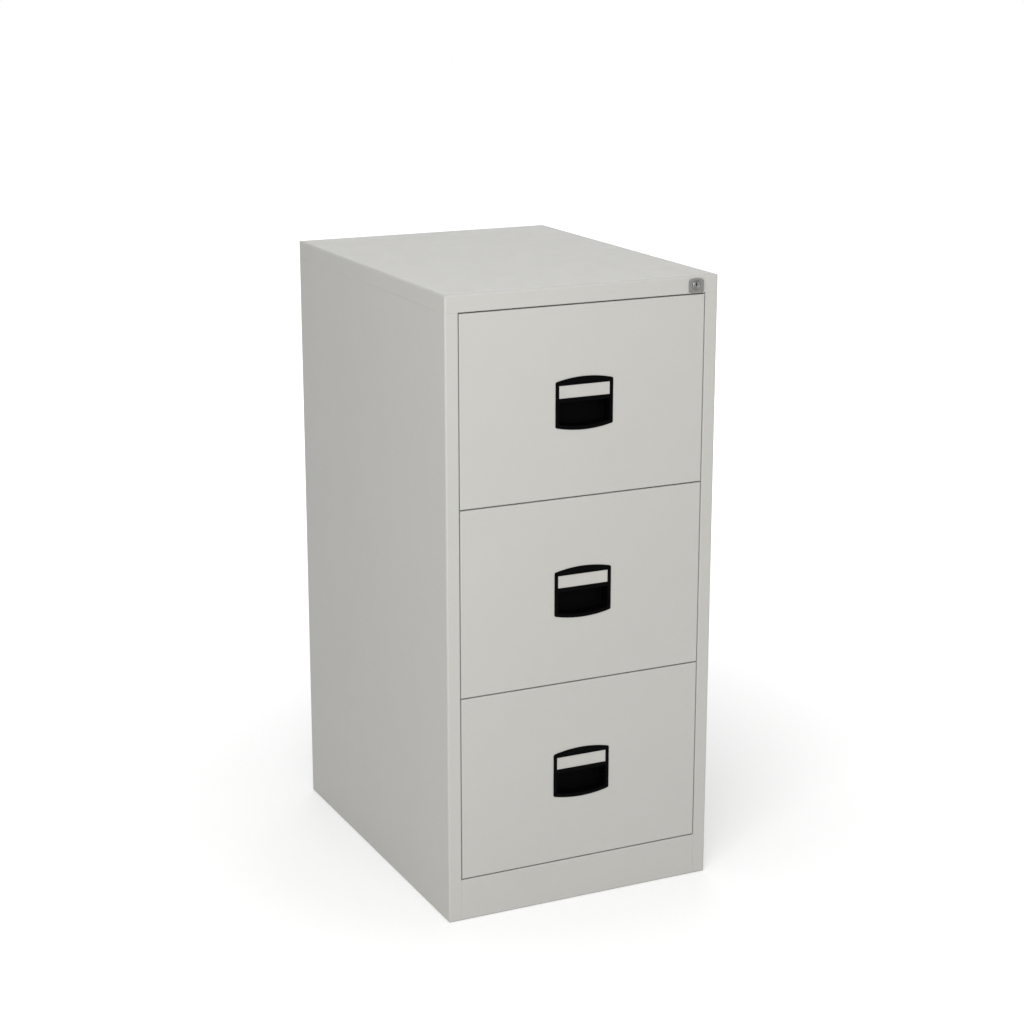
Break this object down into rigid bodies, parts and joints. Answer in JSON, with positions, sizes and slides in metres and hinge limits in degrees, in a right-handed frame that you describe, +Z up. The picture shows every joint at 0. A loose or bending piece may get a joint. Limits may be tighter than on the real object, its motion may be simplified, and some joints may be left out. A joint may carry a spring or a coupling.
{
  "type": "metal filing cabinet",
  "caption": "Upright sheet-steel filing cabinet with flush drawers on full-extension ball runners, moulded pocket handles with label cards, and one cam lock that lifts a lock bar.",
  "frame": {"origin": "on the floor, at the middle of the footprint of the whole object", "axes": "+Z up, +X to the right as a person faces the drawers, and the drawers face and open towards -Y"},
  "size_m": [0.47, 0.626, 1.016],
  "materials": {
    "carcass_paint": "light warm-grey textured powder coat, satin",
    "drawer_paint": "light warm-grey textured powder coat, satin",
    "zinc_steel": "bright zinc plating, satin",
    "black_plastic": "black moulded plastic with a fine grain",
    "label_card": "pale matt card",
    "lock_grey": "grey moulded lock plate, satin",
    "lock_plug": "nickel-plated turning plug",
    "nylon": "natural nylon",
    "foot_plastic": "black moulded foot with a steel stem"
  },
  "bodies": {
    "carcass": {"top_panel": "carcass_paint", "side_panel_left": "carcass_paint", "side_panel_right": "carcass_paint", "back_panel": "carcass_paint", "plinth": "carcass_paint", "floor_pan": "carcass_paint", "upright_front_left": "carcass_paint", "upright_front_right": "carcass_paint", "upright_rear_left": "carcass_paint", "upright_rear_right": "carcass_paint", "levelling_feet": "foot_plastic", "foot_nuts": "zinc_steel", "lock_housing": "lock_grey", "lock_nut": "zinc_steel", "lock_bar_guides": "nylon", "cabinet_members_top": "zinc_steel", "cabinet_members_middle": "zinc_steel", "cabinet_members_bottom": "zinc_steel", "runner_hooks_top": "zinc_steel", "runner_hooks_middle": "zinc_steel", "runner_hooks_bottom": "zinc_steel"},
    "drawer_top": {"drawer_front_top": "drawer_paint", "drawer_liner_top": "drawer_paint", "drawer_body_top": "drawer_paint", "drawer_back_top": "drawer_paint", "handle_top": "black_plastic", "label_card_top": "label_card", "lock_catch_top": "zinc_steel", "drawer_members_top": "zinc_steel", "member_screws_top": "zinc_steel"},
    "middle_members_top": {"middle_members_top": "zinc_steel"},
    "outer_cages_top": {"outer_ball_cages_top": "zinc_steel"},
    "inner_cages_top": {"inner_ball_cages_top": "zinc_steel"},
    "drawer_middle": {"drawer_front_middle": "drawer_paint", "drawer_liner_middle": "drawer_paint", "drawer_body_middle": "drawer_paint", "drawer_back_middle": "drawer_paint", "handle_middle": "black_plastic", "label_card_middle": "label_card", "lock_catch_middle": "zinc_steel", "drawer_members_middle": "zinc_steel", "member_screws_middle": "zinc_steel"},
    "middle_members_middle": {"middle_members_middle": "zinc_steel"},
    "outer_cages_middle": {"outer_ball_cages_middle": "zinc_steel"},
    "inner_cages_middle": {"inner_ball_cages_middle": "zinc_steel"},
    "drawer_bottom": {"drawer_front_bottom": "drawer_paint", "drawer_liner_bottom": "drawer_paint", "drawer_body_bottom": "drawer_paint", "drawer_back_bottom": "drawer_paint", "handle_bottom": "black_plastic", "label_card_bottom": "label_card", "lock_catch_bottom": "zinc_steel", "drawer_members_bottom": "zinc_steel", "member_screws_bottom": "zinc_steel"},
    "middle_members_bottom": {"middle_members_bottom": "zinc_steel"},
    "outer_cages_bottom": {"outer_ball_cages_bottom": "zinc_steel"},
    "inner_cages_bottom": {"inner_ball_cages_bottom": "zinc_steel"},
    "lock_barrel": {"lock_barrel": "lock_plug", "lock_cam": "zinc_steel", "cam_screw": "zinc_steel"},
    "lock_bar": {"lock_bar": "zinc_steel", "lock_bar_arm": "zinc_steel", "lock_bar_fingers": "zinc_steel"}
  },
  "joints": [
    {"name": "drawer_top_slide", "type": "slide", "parent": "carcass", "child": "drawer_top", "axis": [0, -1, 0], "range_m": [0, 0.55]},
    {"name": "middle_members_top_slide", "type": "slide", "parent": "carcass", "child": "middle_members_top", "axis": [0, -1, 0], "range_m": [0, 0.275]},
    {"name": "outer_cages_top_slide", "type": "slide", "parent": "carcass", "child": "outer_cages_top", "axis": [0, -1, 0], "range_m": [0, 0.1375]},
    {"name": "inner_cages_top_slide", "type": "slide", "parent": "carcass", "child": "inner_cages_top", "axis": [0, -1, 0], "range_m": [0, 0.4125]},
    {"name": "drawer_middle_slide", "type": "slide", "parent": "carcass", "child": "drawer_middle", "axis": [0, -1, 0], "range_m": [0, 0.55]},
    {"name": "middle_members_middle_slide", "type": "slide", "parent": "carcass", "child": "middle_members_middle", "axis": [0, -1, 0], "range_m": [0, 0.275]},
    {"name": "outer_cages_middle_slide", "type": "slide", "parent": "carcass", "child": "outer_cages_middle", "axis": [0, -1, 0], "range_m": [0, 0.1375]},
    {"name": "inner_cages_middle_slide", "type": "slide", "parent": "carcass", "child": "inner_cages_middle", "axis": [0, -1, 0], "range_m": [0, 0.4125]},
    {"name": "drawer_bottom_slide", "type": "slide", "parent": "carcass", "child": "drawer_bottom", "axis": [0, -1, 0], "range_m": [0, 0.55]},
    {"name": "middle_members_bottom_slide", "type": "slide", "parent": "carcass", "child": "middle_members_bottom", "axis": [0, -1, 0], "range_m": [0, 0.275]},
    {"name": "outer_cages_bottom_slide", "type": "slide", "parent": "carcass", "child": "outer_cages_bottom", "axis": [0, -1, 0], "range_m": [0, 0.1375]},
    {"name": "inner_cages_bottom_slide", "type": "slide", "parent": "carcass", "child": "inner_cages_bottom", "axis": [0, -1, 0], "range_m": [0, 0.4125]},
    {"name": "lock_turn", "type": "hinge", "parent": "carcass", "child": "lock_barrel", "pos_m": [0.1946, -0.309, 1.0013], "axis": [0, -1, 0], "range_deg": [0, 90]},
    {"name": "lock_bar_slide", "type": "slide", "parent": "carcass", "child": "lock_bar", "axis": [0, 0, 1], "range_m": [0, 0.0113]}
  ],
  "couplings": [
    {"joint": "middle_members_top_slide", "follows": "drawer_top_slide", "ratio": 0.5},
    {"joint": "outer_cages_top_slide", "follows": "drawer_top_slide", "ratio": 0.25},
    {"joint": "inner_cages_top_slide", "follows": "drawer_top_slide", "ratio": 0.75},
    {"joint": "middle_members_middle_slide", "follows": "drawer_middle_slide", "ratio": 0.5},
    {"joint": "outer_cages_middle_slide", "follows": "drawer_middle_slide", "ratio": 0.25},
    {"joint": "inner_cages_middle_slide", "follows": "drawer_middle_slide", "ratio": 0.75},
    {"joint": "middle_members_bottom_slide", "follows": "drawer_bottom_slide", "ratio": 0.5},
    {"joint": "outer_cages_bottom_slide", "follows": "drawer_bottom_slide", "ratio": 0.25},
    {"joint": "inner_cages_bottom_slide", "follows": "drawer_bottom_slide", "ratio": 0.75},
    {"joint": "lock_turn", "follows": "lock_bar_slide", "rad_per_m": 138.9}
  ]
}
